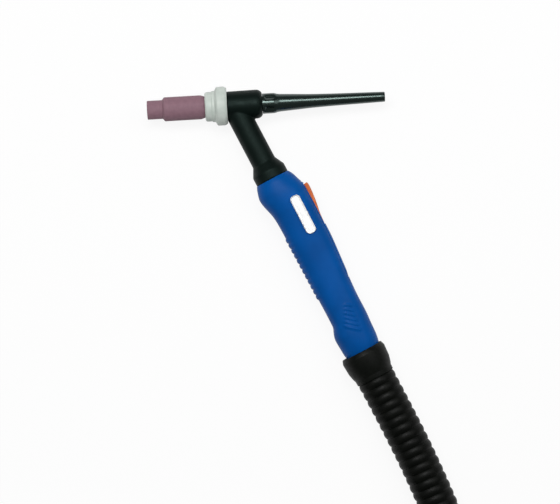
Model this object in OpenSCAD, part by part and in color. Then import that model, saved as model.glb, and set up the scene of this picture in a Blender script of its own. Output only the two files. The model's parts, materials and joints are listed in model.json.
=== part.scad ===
// Air-cooled TIG torch with a knuckle-jointed grip handle and its hose pack.
// The torch lies on its side: +X runs from the nozzle to the back cap, +Z is up from the surface.
// The neck and handle leave the head at neck_angle and lie in one plane, lay_height above the surface.

/* [Head] */
// Angle between the back cap's direction and the neck
neck_angle = 65.5; // [55:0.5:80]
// Diameter of the moulded head barrel
head_d = 20; // [19.6:0.2:26]
// Barrel in front of the neck axis, up to the cup gasket
head_front = 4.6; // [4:0.2:8]
// Barrel behind the neck axis, up to the back cap
head_rear = 19.5; // [18:0.5:26]
// Chamfer round the rear of the barrel
head_chamfer = 2.8; // [1:0.2:4]
// Outer diameter of the brass head body
core_d = 14; // [13:0.5:15]
// Diameter of the moulded neck
neck_d = 16.9; // [15:0.1:19]
// Neck length from the head axis to the collar's flare
neck_l = 44.6; // [35:0.2:70]
// Length of the flare between neck and collar
flare_l = 6.6; // [4:0.2:10]
// Collar diameter at the handle's mouth
collar_d = 23.8; // [22:0.1:25]
// Parallel length of the collar
collar_l = 6; // [3:0.5:12]
// Length of the spigot inside the handle
spigot_l = 9; // [6:0.5:14]
// Outer diameter of the copper neck tube
tube_d = 8; // [7:0.5:9]
// Bore of the copper neck tube
tube_bore = 5; // [3:0.5:6]

/* [Nozzle and gasket] */
// Length of the ceramic nozzle
nozzle_l = 40; // [32:1:60]
// Outer diameter of the nozzle body
nozzle_d = 16.6; // [15.6:0.2:19]
// Outer diameter of the nozzle's reduced tip
nozzle_tip_d = 13; // [12.4:0.1:14]
// Length of the reduced tip
nozzle_tip_l = 10.5; // [8:0.5:16]
// Bore at the nozzle's mouth
nozzle_bore = 9.5; // [9:0.1:10]
// Diameter of the nozzle's seat on the collet body
nozzle_seat_d = 12.3; // [12:0.1:13]
// Diameter of the gasket's hub
gasket_hub_d = 20.4; // [18:0.2:22]
// Length of the gasket's hub
gasket_hub_l = 7.6; // [5:0.2:10]
// Diameter of the gasket's flange
flange_d = 26.8; // [24:0.2:30]
// Thickness of the gasket's flange
flange_l = 7.6; // [5:0.2:10]

/* [Collet and electrode] */
// Diameter of the tungsten electrode
electrode_d = 2.4; // [1.6:0.1:2.6]
// Length of the electrode
electrode_l = 150; // [140:1:155]
// Depth of the electrode's tip inside the nozzle's mouth
tip_depth = 2; // [1:0.5:6]
// Outer diameter of the collet
collet_d = 4; // [3.8:0.1:4.4]
// Diameter of the collet body's gas chamber
chamber_d = 8.4; // [7.8:0.2:8.8]
// Reach of the collet body in front of the gasket
chamber_l = 26; // [22:1:28]
// Diameter of the collet body's rear thread
rear_thread_d = 9.4; // [8.8:0.1:9.6]
// Diameter of the cross holes for the gas
gas_hole_d = 1.8; // [1:0.2:2.4]

/* [Back cap] */
// Length of the back cap outside the head
cap_l = 84.6; // [80:1:100]
// Diameter of the fluted grip at the cap's root
cap_grip_d = 14.1; // [13.6:0.1:16]
// Length of the fluted grip
cap_grip_l = 11; // [8:0.5:14]
// Diameter where the long taper starts
cap_shoulder_d = 12.4; // [12:0.1:13.4]
// Diameter at the middle of the taper
cap_middle_d = 9; // [8:0.1:10]
// Diameter at the flat end
cap_end_d = 6.9; // [6.2:0.1:8]
// Broad flutes round the grip
flutes = 5; // [4:1:8]
// Diameter of the cap's threaded stem
stem_d = 10.4; // [10:0.1:10.8]
// Length of the stem inside the head
stem_l = 7.8; // [6:0.2:9]

/* [Handle] */
// Length of the handle shells
handle_l = 134; // [130:1:138]
// Wall of the shells
shell_wall = 2.2; // [1.8:0.1:2.6]
// Grip teeth along the front edge
teeth = 12; // [6:1:14]
// Spacing of the grip teeth
tooth_pitch = 4; // [3:0.25:4.5]
// Height of the grip teeth
tooth_h = 0.8; // [0.3:0.1:1.2]
// Ridges on each cheek near the tail
side_ribs = 6; // [3:1:7]
// Thickness of the blank label plate
label_t = 1; // [0.6:0.1:1.4]
// Length of the label plate
label_l = 28; // [22:1:32]
// Width of the label plate
label_w = 7.1; // [5:0.1:8]

/* [Trigger and switch] */
// Length of the trigger lever
trigger_l = 31; // [28:0.5:33]
// Width of the trigger lever
trigger_w = 9; // [7:0.2:9.4]
// Width of the switch module
module_w = 12; // [11.6:0.2:12.6]
// Length of the switch module
module_l = 73; // [68:1:76]
// Diameter of the trigger's hinge pin
hinge_d = 2; // [1.6:0.1:2.4]
// Running clearance, on the diameter, round the hinge pin and the plunger
running_gap = 0.1; // [0.06:0.02:0.16]

/* [Knuckle and boot] */
// Diameter of the knuckle ball
ball_d = 22; // [21:0.2:22.4]
// Distance from the ball's centre back to the handle's end
ball_inset = 11.2; // [11:0.1:11.8]
// Outer diameter of the ball's neck
ball_neck_d = 11; // [10:0.2:11.2]
// Bore through the ball and its neck
ball_bore = 8; // [6:0.2:8.4]
// Largest diameter of the boot, at its rim
boot_d = 32; // [31:0.2:34]
// Length of the boot behind the handle's end
boot_l = 20.4; // [18:0.2:22]
// Reach of the boot's lip round the handle's end
lip_reach = 0.3; // [0:0.1:0.6]

/* [Hose pack] */
// Outer diameter of the ribbed sleeve over its ribs
sleeve_d = 27; // [25:0.5:29]
// Depth of the grooves between the ribs
groove = 0.9; // [0.6:0.1:2]
// Bore of the ribbed sleeve
sleeve_bore = 19; // [17:0.5:20]
// Spacing of the ribs
rib_pitch = 6; // [4:0.5:8]
// Diameter of the hose
hose_d = 14; // [13:0.2:14.4]
// Side-to-side spacing of the coiled turns
turn_pitch = 15; // [15:0.1:16]
// Innermost radius of the coil's centreline
coil_inner_r = 62; // [58:1:70]
// Diameter of the control lead
lead_d = 5; // [4:0.2:6]
// Diameter of the plug's contact pin
pin_d = 13; // [12.5:0.1:13]
// Length of the plug's contact pin
pin_l = 19; // [16:1:26]

/* [Hidden] */

round_fn = 64;
// Clearances: a slip fit on the radius, a seat between bodies, and a cut's overshoot
slip = 0.05;
seat = 0.3;
over = 1;

// Places along the head axis, measured from the neck axis
cover_front_x = -head_front;
flange_front_x = cover_front_x - flange_l;
hub_front_x = flange_front_x - gasket_hub_l;
tip_x = hub_front_x - nozzle_l;
core_front_x = cover_front_x - 3.4;
core_rear_x = head_rear - 1.5;
cap_face_x = head_rear + seat;
cap_end_x = cap_face_x + cap_l;
stem_front_x = cap_face_x - stem_l;
chamber_front_x = hub_front_x - chamber_l;
seat_front_x = hub_front_x - 8;
body_rear_x = core_front_x + 5;
electrode_tip_x = tip_x + tip_depth;
electrode_rear_x = electrode_tip_x + electrode_l;
bore_gap = 0.1;

// Places along the neck axis, measured from the head axis
collar_l0 = neck_l + flare_l;
mouth_l = collar_l0 + collar_l;
spigot_end_l = mouth_l + spigot_l;
handle_end_l = mouth_l + handle_l;
ball_l = handle_end_l - ball_inset;
boot_end_l = handle_end_l + boot_l;
neck_end_l = boot_end_l - 4.6;
neck_boss_d = 11;
boss_l = 10;
socket_l = 6;
fitting_l0 = spigot_end_l + 0.3;
fitting_l = 18;
fitting_d = 12.6;
barb_d = 6;
barb_l = 12;
ferrule_l0 = fitting_l0 + fitting_l + 1;
ferrule_l = 18;
inner_lead_d = 8.6;
lead_l0 = fitting_l0 + fitting_l + barb_l;
lead_end_l = ball_l - ball_d / 2 - 2;
// Side offset of the knuckle and the hose from the neck axis
tail_y = -1;

// The lying part touches the surface with its boot rim; the origin is below the middle of its box
lay_height = boot_d / 2;
box_left = tip_x;
box_right = cap_end_x;
box_top = flange_d / 2;
boot_end_d = 27.2;
box_bottom = -boot_end_l * sin(neck_angle) + (tail_y - boot_end_d / 2) * cos(neck_angle);
head_x = -(box_left + box_right) / 2;
head_y = -(box_top + box_bottom) / 2;

module head_frame() translate([head_x, head_y, lay_height]) rotate([0, 90, 0]) children();
module neck_frame()
  translate([head_x, head_y, lay_height]) rotate([0, 0, -neck_angle]) rotate([0, 90, 0]) children();
function neck_point(l, y) =
  [head_x + l * cos(neck_angle) + y * sin(neck_angle),
   head_y - l * sin(neck_angle) + y * cos(neck_angle), lay_height];

// A solid of revolution about the local Z axis, from [radius, place] points
module turned(points) rotate_extrude($fn = round_fn) polygon(points);
// A straight cylinder from one place to another along the local Z axis
module rod(d, from, to) translate([0, 0, from]) cylinder(d = d, h = to - from, $fn = round_fn);

// ---- Smooth outlines: [place, value] tables read with cubic interpolation ----
function span(t, s, i = 0) = i >= len(t) - 2 || s < t[i + 1][0] ? i : span(t, s, i + 1);
function slope(t, i) =
  let (a = max(i - 1, 0), b = min(i + 1, len(t) - 1)) (t[b][1] - t[a][1]) / (t[b][0] - t[a][0]);
function smooth(t, s) =
  let (i = span(t, s), h = t[i + 1][0] - t[i][0], u = min(max((s - t[i][0]) / h, 0), 1))
  (2 * u ^ 3 - 3 * u ^ 2 + 1) * t[i][1] + (u ^ 3 - 2 * u ^ 2 + u) * h * slope(t, i)
  + (3 * u ^ 2 - 2 * u ^ 3) * t[i + 1][1] + (u ^ 3 - u ^ 2) * h * slope(t, i + 1);

// ---- Lofts and tubes: rings of points joined by triangles ----
// Triangles between ring k and ring k + 1 of n points each, counted from a first point
function band(n, k, first = 0) =
  [for (i = [0:n - 1]) let (a = first + k * n + i, b = first + k * n + (i + 1) % n)
    each [[a, b, b + n], [a, b + n, a + n]]];
function flipped(faces) = [for (f = faces) [f[2], f[1], f[0]]];
// A flat cap fanned from its first point
function fan(first, n) = [for (i = [1:n - 2]) [first, first + i + 1, first + i]];

module loft(rings, caps = [], flip = false) {
  n = len(rings[0]);
  sides = [for (k = [0:len(rings) - 2]) each band(n, k)];
  ends = len(caps) > 0 ? caps : concat(fan(0, n), flipped(fan((len(rings) - 1) * n, n)));
  faces = concat(sides, ends);
  polyhedron(points = [for (r = rings) each r], faces = flip ? flipped(faces) : faces);
}

// A ring of points round p, square to the direction t
function ring(p, t, r, sides, up = [0, 0, 1]) =
  let (u = cross(t, up), a = u / norm(u), b = cross(a, t) / norm(t))
  [for (i = [0:sides - 1]) p + r * (a * cos(360 * i / sides) + b * sin(360 * i / sides))];
function direction(points, i) =
  let (a = max(i - 1, 0), b = min(i + 1, len(points) - 1)) points[b] - points[a];
module tube(points, d, sides, up = [0, 0, 1])
  loft([for (i = [0:len(points) - 1]) ring(points[i], direction(points, i), d / 2, sides, up)]);
function length_of(p) = len(p) < 2 ? 0 : norm(p[1] - p[0]) + length_of([for (i = [1:len(p) - 1]) p[i]]);
// The point at a distance s along a route, and the direction there
function along(p, s, i = 0) =
  let (l = norm(p[i + 1] - p[i]))
  i >= len(p) - 2 || s <= l ? p[i] + (p[i + 1] - p[i]) * s / l : along(p, s - l, i + 1);
function heading(p, s, i = 0) =
  let (l = norm(p[i + 1] - p[i])) i >= len(p) - 2 || s <= l ? (p[i + 1] - p[i]) / l : heading(p, s - l, i + 1);

// ---- Nozzle, gasket, collet ----
module nozzle() color("#96707f") head_frame() difference() {
  turned([[0, tip_x], [nozzle_tip_d / 2 - 0.4, tip_x], [nozzle_tip_d / 2, tip_x + 0.4],
          [nozzle_tip_d / 2, tip_x + nozzle_tip_l], [nozzle_d / 2, tip_x + nozzle_tip_l + 1.4],
          [nozzle_d / 2, hub_front_x - 3], [nozzle_d / 2 - 1, hub_front_x], [0, hub_front_x]]);
  rod(nozzle_bore, tip_x - over, tip_x + nozzle_tip_l + 2);
  turned([[0, tip_x + nozzle_tip_l + 1], [nozzle_bore / 2, tip_x + nozzle_tip_l + 1],
          [nozzle_seat_d / 2, tip_x + nozzle_tip_l + 3], [nozzle_seat_d / 2, hub_front_x + over],
          [0, hub_front_x + over]]);
}

module cup_gasket() color("#cdd5ce") head_frame() difference() {
  // A hub with a rounded front, a low rim, and a chamfered flange
  turned([[0, hub_front_x], [gasket_hub_d / 2 - 0.8, hub_front_x], [gasket_hub_d / 2, hub_front_x + 1],
          [gasket_hub_d / 2, flange_front_x - 3], [gasket_hub_d / 2 + 0.5, flange_front_x - 2.7],
          [gasket_hub_d / 2 + 0.6, flange_front_x - 0.8], [flange_d / 2 - 0.9, flange_front_x],
          [flange_d / 2, flange_front_x + 0.9], [flange_d / 2, cover_front_x - 1.8],
          [flange_d / 2 - 1.1, cover_front_x], [0, cover_front_x]]);
  rod(rear_thread_d + 2 * slip, hub_front_x - over, core_front_x + over);
  rod(core_d + 2 * slip, core_front_x, cover_front_x + over);
}

module collet_body() color("#b5763c") head_frame() difference() {
  turned([[0, chamber_front_x], [2.6, chamber_front_x], [chamber_d / 2, chamber_front_x + 2.4],
          [chamber_d / 2, seat_front_x - 2], [nozzle_seat_d / 2 - slip, seat_front_x],
          [nozzle_seat_d / 2 - slip, hub_front_x], [rear_thread_d / 2, hub_front_x],
          [rear_thread_d / 2, body_rear_x], [0, body_rear_x]]);
  rod(electrode_d + 2 * bore_gap, chamber_front_x - over, body_rear_x + over);
  rod(collet_d + 2 * bore_gap, chamber_front_x + 1.6, body_rear_x + over);
  for (turn = [0, 90])
    translate([0, 0, chamber_front_x + 9]) rotate([0, 90, turn])
      cylinder(d = gas_hole_d, h = chamber_d + 2 * over, center = true, $fn = round_fn);
}

module collet() color("#c9884a") head_frame() difference() {
  turned([[0, chamber_front_x + 2], [collet_d / 2 - 0.3, chamber_front_x + 2],
          [collet_d / 2, chamber_front_x + 4], [collet_d / 2, stem_front_x - bore_gap],
          [0, stem_front_x - bore_gap]]);
  rod(electrode_d + 2 * slip, chamber_front_x, stem_front_x + over);
  for (turn = [0, 90]) rotate([0, 0, turn])
    translate([-collet_d, -0.2, chamber_front_x]) cube([2 * collet_d, 0.4, 18]);
}

module electrode() color("#9a9ca0") head_frame()
  turned([[0, electrode_tip_x], [electrode_d / 2, electrode_tip_x + 4],
          [electrode_d / 2, electrode_rear_x], [0, electrode_rear_x]]);

// ---- Head ----
module head_core() color("#b08d3c") difference() {
  union() {
    head_frame() rod(core_d, core_front_x, core_rear_x);
    neck_frame() rod(neck_boss_d, 0, boss_l);
  }
  head_frame() {
    rod(rear_thread_d + 2 * slip, core_front_x - over, body_rear_x + seat);
    rod(8, core_front_x + 2, core_rear_x);
    rod(stem_d + 2 * slip, stem_front_x - 4, core_rear_x + over);
    rod(seal_d + 2 * bore_gap, core_rear_x - 3.2, core_rear_x + over);
  }
  neck_frame() rod(tube_d + 2 * slip, socket_l, boss_l + over);
  neck_frame() rod(tube_bore, 0, boss_l);
}

module neck_tube() color("#b5763c") neck_frame() difference() {
  rod(tube_d, socket_l, fitting_l0 + 10);
  rod(tube_bore, socket_l - over, fitting_l0 + 10 + over);
}

module head_cover() color("#14191a") difference() {
  union() {
    // The barrel swells a little towards its chamfered rear
    head_frame() turned([[0, cover_front_x], [head_d / 2 - 0.25, cover_front_x],
      [head_d / 2, head_rear - head_chamfer], [head_d / 2 - 2.9, head_rear], [0, head_rear]]);
    neck_frame() turned([[0, 0], [neck_d / 2, 0], [neck_d / 2, neck_l], [collar_d / 2, collar_l0],
      [collar_d / 2, mouth_l], [spigot_d / 2, mouth_l], [spigot_d / 2, spigot_end_l],
      [0, spigot_end_l]]);
  }
  // The neck's stub ends with the barrel's front face
  head_frame() rod(2 * head_d, cover_front_x - head_d, cover_front_x);
  head_frame() rod(core_d + 2 * slip, cover_front_x - over, core_rear_x);
  head_frame() rod(seal_d + 2 * bore_gap, core_rear_x - over, head_rear + over);
  neck_frame() rod(neck_boss_d + 2 * slip, 0, boss_l + slip);
  neck_frame() rod(tube_d + 2 * slip, 0, spigot_end_l + over);
}

// ---- Back cap ----
seal_t = 1.7;
seal_d = stem_d + 1.9;
seal_x = core_rear_x - 1.6;
module cap_outline() turned([[0, stem_front_x], [stem_d / 2, stem_front_x],
  [stem_d / 2, seal_x - 1.1], [stem_d / 2 - 0.8, seal_x - 1.1], [stem_d / 2 - 0.8, seal_x + 1.1],
  [stem_d / 2, seal_x + 1.1], [stem_d / 2, cap_face_x], [cap_grip_d / 2 - 0.5, cap_face_x],
  [cap_grip_d / 2, cap_face_x + 0.5], [cap_grip_d / 2, cap_face_x + cap_grip_l - 2],
  [cap_shoulder_d / 2, cap_face_x + cap_grip_l],
  [cap_middle_d / 2, cap_face_x + cap_l * 0.5], [cap_end_d / 2 + 0.4, cap_face_x + cap_l * 0.8],
  [cap_end_d / 2, cap_end_x - 0.5], [cap_end_d / 2 - 0.5, cap_end_x], [0, cap_end_x]]);
// A flute is the trace of a barrel-shaped cutter, so that it runs out softly at both ends
flute_r = 8;
flute_depth = 1;
flute_front_x = cap_face_x + 2.2;
flute_rear_x = cap_face_x + cap_grip_l - 1;
module flute_cutter() turned([[0, flute_front_x], [flute_r - flute_depth, flute_front_x],
  [flute_r, flute_front_x + 2], [flute_r, flute_rear_x - 2.5], [flute_r - flute_depth, flute_rear_x],
  [0, flute_rear_x]]);
module back_cap() color("#101213") head_frame() difference() {
  cap_outline();
  rod(electrode_d + 1, stem_front_x - over, cap_end_x - 5);
  for (i = [0:flutes - 1]) rotate([0, 0, 360 * i / flutes])
    translate([cap_grip_d / 2 + flute_r - flute_depth, 0, 0]) flute_cutter();
}

module back_cap_seal() color("#222222") head_frame()
  translate([0, 0, seal_x]) rotate_extrude($fn = round_fn)
    translate([seal_d / 2 - seal_t / 2, 0]) circle(d = seal_t, $fn = 32);

// ---- Handle: a lofted grip split along its middle plane ----
// Outlines against the distance s from the mouth; the tail's places count back from the handle's end
mouth_r = collar_d / 2 + 0.3;
spigot_d = 2 * (mouth_r - shell_wall - 0.2);
tail_s = handle_l - 134;
front_edge = [[0, mouth_r], [3, 13.4], [9, 14.9], [14, 14.4], [23, 12.1], [30, 11.4], [42, 11.2],
              [90, 10.9], [tail_s + 108, 10.9], [tail_s + 111, 11.2], [tail_s + 115, 12.8],
              [tail_s + 119, 13.7], [tail_s + 127, 13.4], [tail_s + 132, 13], [handle_l, 12.4]];
back_edge = [[0, mouth_r], [3, 14], [8, 15.8], [12, 17.2], [16, 17.7], [43, 17.6], [54, 17.4],
             [70, 16.3], [96, 14.6], [tail_s + 111, 14.5], [tail_s + 119, 14],
             [tail_s + 127, 13.6], [tail_s + 132, 12.9], [handle_l, 12.3]];
half_width = [[0, mouth_r], [3, 13.2], [9, 14.1], [16, 14.3], [28, 13.7], [42, 13.2], [62, 12.7],
              [82, 12.5], [tail_s + 106, 12.5], [tail_s + 115, 13], [tail_s + 120, 13.4],
              [tail_s + 128, 13.2], [handle_l, 12.3]];
roundness = [[0, 2], [10, 2.25], [30, 2.4], [100, 2.4], [tail_s + 118, 2.15], [handle_l, 2]];

half_sides = 14;
teeth_s = 41;
teeth_end_s = teeth_s + teeth * tooth_pitch;
front_steps = 16;
rear_steps = 18;
stations = [for (i = [0:front_steps]) teeth_s * i / front_steps,
            for (i = [1:2 * teeth]) teeth_s + i * tooth_pitch / 2,
            for (i = [1:rear_steps]) teeth_end_s + (handle_l - teeth_end_s) * i / rear_steps];

function middle(s) = (smooth(back_edge, s) - smooth(front_edge, s)) / 2;
function half_depth(s) = (smooth(back_edge, s) + smooth(front_edge, s)) / 2;
// Height of a grip tooth at s: full on every other station, zero between
function tooth(s) =
  s <= teeth_s || s >= teeth_end_s ? 0 : tooth_h * abs(sin(180 * (s - teeth_s) / tooth_pitch));
function power(v, n) = sign(v) * abs(v) ^ (2 / n);
// A half section from the front edge, at -90 degrees, to the back edge, at 90
function half_section(s, side, w, d, y, bump, n) =
  [for (i = [0:half_sides]) let (a = 180 * i / half_sides - 90)
    [side * w * (i == 0 || i == half_sides ? 0 : power(cos(a), n)),
     y + d * power(sin(a), n) - bump * max(-sin(a), 0) ^ 6, mouth_l + s]];
// The cavity narrows to a throat at the ball's socket
cavity_end_s = handle_l - 24;
throat_r = 7.4;
function closing(s) = min(max((s - cavity_end_s) / 2, 0), 1);
function mix(a, b, t) = a * (1 - t) + b * t;
function shell_ring(s, side) = let (w = smooth(half_width, s), d = half_depth(s), t = closing(s))
  concat(half_section(s, side, w, d, middle(s), tooth(s), smooth(roundness, s)),
         [for (i = [half_sides:-1:0])
           half_section(s, side, mix(w - shell_wall, throat_r, t), mix(d - shell_wall, throat_r, t),
                        mix(middle(s), tail_y, t), 0, smooth(roundness, s))[i]]);
// The flat end of a half shell: quads between the outer and the inner arc
function end_strip(first) =
  [for (i = [0:half_sides - 1]) let (a = first + i, b = first + 2 * half_sides + 1 - i)
    each [[a, b, a + 1], [a + 1, b, b - 1]]];
module shell_blank(side) {
  n = 2 * (half_sides + 1);
  loft([for (s = stations) shell_ring(s, side)], flip = side > 0,
       caps = concat(end_strip(0), flipped(end_strip((len(stations) - 1) * n))));
}
function surface_x(s, y) = smooth(half_width, s)
  * (1 - abs((y - middle(s)) / half_depth(s)) ^ smooth(roundness, s)) ^ (1 / smooth(roundness, s));
function surface_y(s, x) = middle(s) + half_depth(s)
  * (1 - abs(x / smooth(half_width, s)) ^ smooth(roundness, s)) ^ (1 / smooth(roundness, s));

// Screws: [distance from the mouth, side offset]; heads sit in the right shell, away from the label
screws = [[56, 8.3], [101, 7.9]];
boss_d = 5.8;
left_boss_h = 10.6;
right_boss_h = 10.2;
pilot_d = 2.3;
pilot_depth = 8.5;
screw_tip_x = 8;
screw_head_d = 4.6;
screw_seat_x = 8.6;
module at_screws() for (p = screws) translate([0, p[1], mouth_l + p[0]]) rotate([0, 90, 0]) children();
// Ridges across each cheek, slanting back towards the trigger side
rib_first_s = tail_s + 103.2;
rib_step_s = 3.2;
rib_l = 9;
rib_d = 1.1;
rib_slant = 45;
rib_rise = 0.3;
module cheek_ribs(side)
  for (i = [0:side_ribs - 1]) let (s = rib_first_s + i * rib_step_s, y = 5.4 - 0.55 * i)
    translate([side * (surface_x(s, y) - rib_d / 2 + rib_rise), y, mouth_l + s])
      rotate([-rib_slant, 0, 0]) cylinder(d = rib_d, h = rib_l, center = true, $fn = 24);
module socket_cut() {
  translate([0, tail_y, ball_l]) sphere(d = ball_d + 2 * 0.15, $fn = round_fn);
  turned_at_tail([[0, 2], [throat_r - 0.5, 2], [8.9, 6.6], [10.9, ball_inset], [10.9, ball_inset + over],
                  [0, ball_inset + over]]);
}
module turned_at_tail(points) translate([0, tail_y, ball_l]) turned(points);

// The label plate lies in a shallow pocket of the left cheek, tilted to the surface there
label_s = 31.5;
label_y = 6.9;
label_seat = label_t - 0.3;
label_tilt = atan((surface_x(label_s, label_y - 3) - surface_x(label_s, label_y + 3)) / 6);
label_rake = atan((surface_x(label_s - 12, label_y) - surface_x(label_s + 12, label_y)) / 24);
module at_label()
  translate([-surface_x(label_s, label_y), label_y, mouth_l + label_s])
    rotate([0, label_rake, -label_tilt]) children();
module pill(l, w, from, to) {
  for (end = [-1, 1]) translate([from, 0, end * (l - w) / 2])
    rotate([0, 90, 0]) cylinder(d = w, h = to - from, $fn = round_fn);
  translate([from, -w / 2, -(l - w) / 2]) cube([to - from, w, l - w]);
}
module label_plate() color("#ededed") neck_frame() at_label()
  pill(label_l, label_w, label_seat - label_t, label_seat);

// The slot for the switch module runs along the back edge
module_s = 11;
slot_floor_y = 11;
module module_slot()
  translate([-module_w / 2 - 0.1, slot_floor_y, mouth_l + module_s - 0.1])
    cube([module_w + 0.2, 12, module_l + 0.2]);

module handle_shell_left() color("#0b4a96") neck_frame() difference() {
  union() {
    shell_blank(-1);
    at_screws() translate([0, 0, -left_boss_h]) cylinder(d = boss_d, h = left_boss_h, $fn = round_fn);
    cheek_ribs(-1);
  }
  at_screws() translate([0, 0, -pilot_depth]) cylinder(d = pilot_d, h = pilot_depth + over, $fn = round_fn);
  socket_cut();
  module_slot();
  at_label() pill(label_l + 0.2, label_w + 0.2, label_seat - label_t, 4);
}

module handle_shell_right() color("#0b4a96") neck_frame() difference() {
  union() {
    shell_blank(1);
    at_screws() cylinder(d = boss_d, h = right_boss_h, $fn = round_fn);
    cheek_ribs(1);
  }
  at_screws() translate([0, 0, -over]) cylinder(d = pilot_d + 0.8, h = 20, $fn = round_fn);
  at_screws() translate([0, 0, screw_seat_x]) cylinder(d = screw_head_d + 0.3, h = 8, $fn = round_fn);
  socket_cut();
  module_slot();
}

module handle_screws() color("#8a8d90") neck_frame() at_screws() difference() {
  union() {
    translate([0, 0, -screw_tip_x]) cylinder(d = pilot_d, h = screw_seat_x + screw_tip_x, $fn = round_fn);
    translate([0, 0, screw_seat_x]) cylinder(d = screw_head_d, h = 1.8, $fn = round_fn);
  }
  translate([0, 0, screw_seat_x + 0.8]) cylinder(d = 2, h = 2, $fn = 6);
}

// ---- Trigger and switch ----
trigger_s = module_s + 2;
pin_s = trigger_s + trigger_l - 3;
pin_y = 15;
plunger_s = trigger_s + 9.5;
floor_top_y = 12.6;
switch_y = 7;
switch_h = 5.8;
switch_w = 5.8;
switch_l = 12.8;
plunger_d = 1.8;
crown_points = 4;
// A strip along the back edge: crowned on top, flat below
module strip(from, to, w, floor_y, top) loft([for (i = [0:12]) let (s = from + (to - from) * i / 12)
  concat([[w / 2, floor_y, mouth_l + s], [-w / 2, floor_y, mouth_l + s]],
         [for (j = [-crown_points:crown_points]) let (x = w / 2 * j / crown_points)
           [x, surface_y(s, x) + smooth(top, s), mouth_l + s]])]);

module_rise = [[module_s, 0], [module_s + 2, 0.3], [module_s + module_l - 6, 0.3],
               [module_s + module_l, -0.2]];
module switch_module() color("#0b4a96") neck_frame() difference() {
  strip(module_s, module_s + module_l, module_w, slot_floor_y + 0.3, module_rise);
  translate([-trigger_w / 2 - seat, floor_top_y, mouth_l + trigger_s - seat])
    cube([trigger_w + 2 * seat, 10, trigger_l + 2 * seat]);
  translate([0, 0, mouth_l + pin_s]) translate([-module_w, pin_y, 0]) rotate([0, 90, 0])
    cylinder(d = hinge_d, h = 2 * module_w, $fn = round_fn);
  translate([-switch_w / 2 - slip, 0, mouth_l + plunger_s - 3 - slip])
    cube([switch_w + 2 * slip, 14, switch_l + 2 * slip]);
}

trigger_rise = [[trigger_s, 2.6], [trigger_s + 4, 2.7], [trigger_s + 15, 1.7],
                [trigger_s + 23, 0.5], [trigger_s + trigger_l, 0]];
trigger_floor_y = 14.6;
module trigger() color("#d8702f") neck_frame() difference() {
  union() {
    strip(trigger_s, trigger_s + trigger_l, trigger_w, trigger_floor_y, trigger_rise);
    translate([-trigger_w / 2, pin_y, mouth_l + pin_s]) rotate([0, 90, 0])
      cylinder(d = 4, h = trigger_w, $fn = round_fn);
    translate([0, 0, mouth_l + plunger_s]) rotate([-90, 0, 0]) translate([0, 0, plunger_top_y + 0.05])
      cylinder(d = 3, h = trigger_floor_y - plunger_top_y + 0.5, $fn = round_fn);
  }
  translate([-trigger_w, pin_y, mouth_l + pin_s]) rotate([0, 90, 0])
    cylinder(d = hinge_d + running_gap, h = 2 * trigger_w, $fn = round_fn);
}

module trigger_pin() color("#9a9ca0") neck_frame()
  translate([-module_w / 2 + 0.4, pin_y, mouth_l + pin_s]) rotate([0, 90, 0])
    cylinder(d = hinge_d, h = module_w - 0.8, $fn = round_fn);

plunger_travel = 1.2;
plunger_top_y = switch_y + switch_h + 1.3;
plunger_foot_y = switch_y + switch_h - 2;
module along_plunger(d, from, to)
  translate([0, from, mouth_l + plunger_s]) rotate([-90, 0, 0]) cylinder(d = d, h = to - from, $fn = round_fn);
module microswitch() color("#1b1b1b") neck_frame() difference() {
  translate([-switch_w / 2, switch_y, mouth_l + plunger_s - 3]) cube([switch_w, switch_h, switch_l]);
  along_plunger(plunger_d + running_gap, plunger_foot_y - plunger_travel - seat, switch_y + switch_h + over);
}
module switch_plunger() color("#e8e4d8") neck_frame()
  along_plunger(plunger_d, plunger_foot_y, plunger_top_y);

terminal_t = 0.6;
module switch_terminals() color("#c9a227") neck_frame() for (side = [-1, 1])
  translate([side * switch_w / 2 - (side < 0 ? terminal_t : 0), switch_y + 1, mouth_l + plunger_s + 5])
    cube([terminal_t, 2.2, 3]);

wire_d = 1.4;
wire_x = switch_w / 2 + terminal_t + wire_d / 2;
wire_clear_x = 6.5;
wire_l0 = mouth_l + plunger_s + 5;
// Each wire leaves its terminal, drops beside the ferrule and runs back to the ball's bore
module switch_wires() color("#b03030") neck_frame() for (side = [-1, 1])
  tube([[side * wire_x, switch_y + 2, wire_l0], [side * wire_x, switch_y + 2, wire_l0 + 4],
        [side * (wire_x + 1), 5.5, wire_l0 + 9], [side * wire_clear_x, 3.4, wire_l0 + 17],
        [side * wire_clear_x, 2.4, wire_l0 + 45], [side * wire_clear_x, 1.5, lead_end_l - 1.5]],
       wire_d, 8, [1, 0, 0]);

// ---- Current path in the handle ----
module power_fitting() color("#b08d3c") neck_frame() difference() {
  union() {
    rod(fitting_d, fitting_l0, fitting_l0 + 4);
    translate([0, 0, fitting_l0 + 4]) cylinder(d = fitting_d, h = fitting_l - 4, $fn = 6);
    rod(barb_d, fitting_l0 + fitting_l, lead_l0);
  }
  rod(tube_d + 2 * slip, fitting_l0 - over, fitting_l0 + 10);
  rod(3.4, fitting_l0, lead_l0 + over);
}

module cable_ferrule() color("#b8bcc0") neck_frame() difference() {
  rod(inner_lead_d + 1.4, ferrule_l0, ferrule_l0 + ferrule_l);
  rod(barb_d + 2 * slip, ferrule_l0 - over, lead_l0);
  rod(inner_lead_d + 2 * slip, lead_l0, ferrule_l0 + ferrule_l + over);
}

module inner_lead() color("#202022") neck_frame() rod(inner_lead_d, lead_l0, lead_end_l);

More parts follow.
